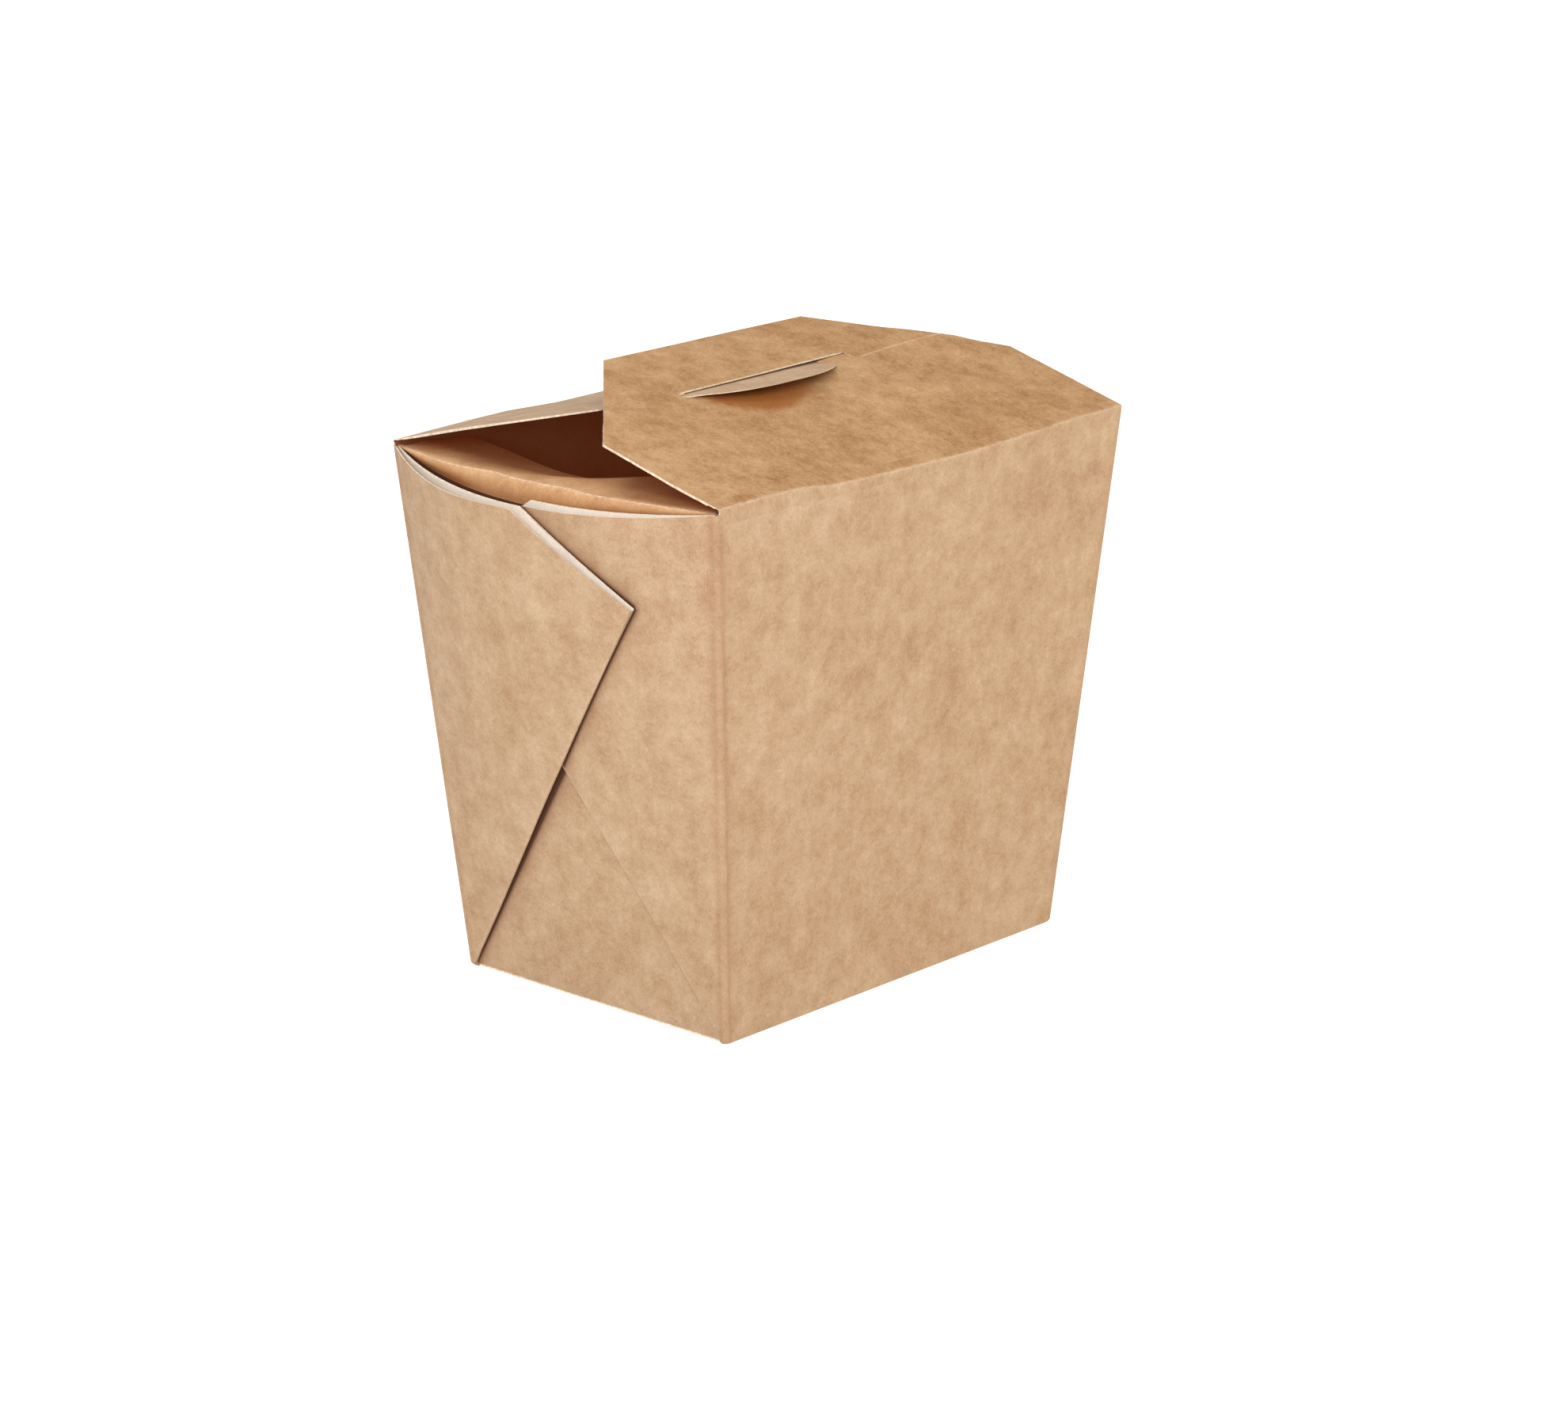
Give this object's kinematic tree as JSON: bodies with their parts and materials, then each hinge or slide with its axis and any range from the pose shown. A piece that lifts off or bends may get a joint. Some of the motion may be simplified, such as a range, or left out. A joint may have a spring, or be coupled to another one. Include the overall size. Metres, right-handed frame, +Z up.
{
  "type": "noodle takeaway box",
  "caption": "Folded kraft board takeaway box for noodles, tapered, with gusseted ends and a lid panel whose slot takes the tongue of the panel opposite.",
  "frame": {"origin": "middle of the base, on the surface that the box stands on", "axes": "+Z up; +X along the long walls, across the lid fold; -Y is the front wall, whose lid panel has the slot"},
  "size_m": [0.1326, 0.0808, 0.1159],
  "materials": {
    "kraft_board": "matt uncoated kraft board"
  },
  "bodies": {
    "tub": {"tub": "kraft_board"},
    "lid_front": {"lid_front": "kraft_board"},
    "lid_back": {"lid_back": "kraft_board"}
  },
  "joints": [
    {"name": "lid_front_fold", "type": "hinge", "parent": "tub", "child": "lid_front", "pos_m": [0, -0.04043, 0.102], "axis": [1, 0, 0], "range_deg": [0, 170]},
    {"name": "lid_back_fold", "type": "hinge", "parent": "tub", "child": "lid_back", "pos_m": [0, 0.04043, 0.102], "axis": [-1, 0, 0], "range_deg": [0, 94]}
  ],
  "couplings": [
    {"joint": "lid_back_fold", "follows": "lid_front_fold", "ratio": 0.55}
  ]
}
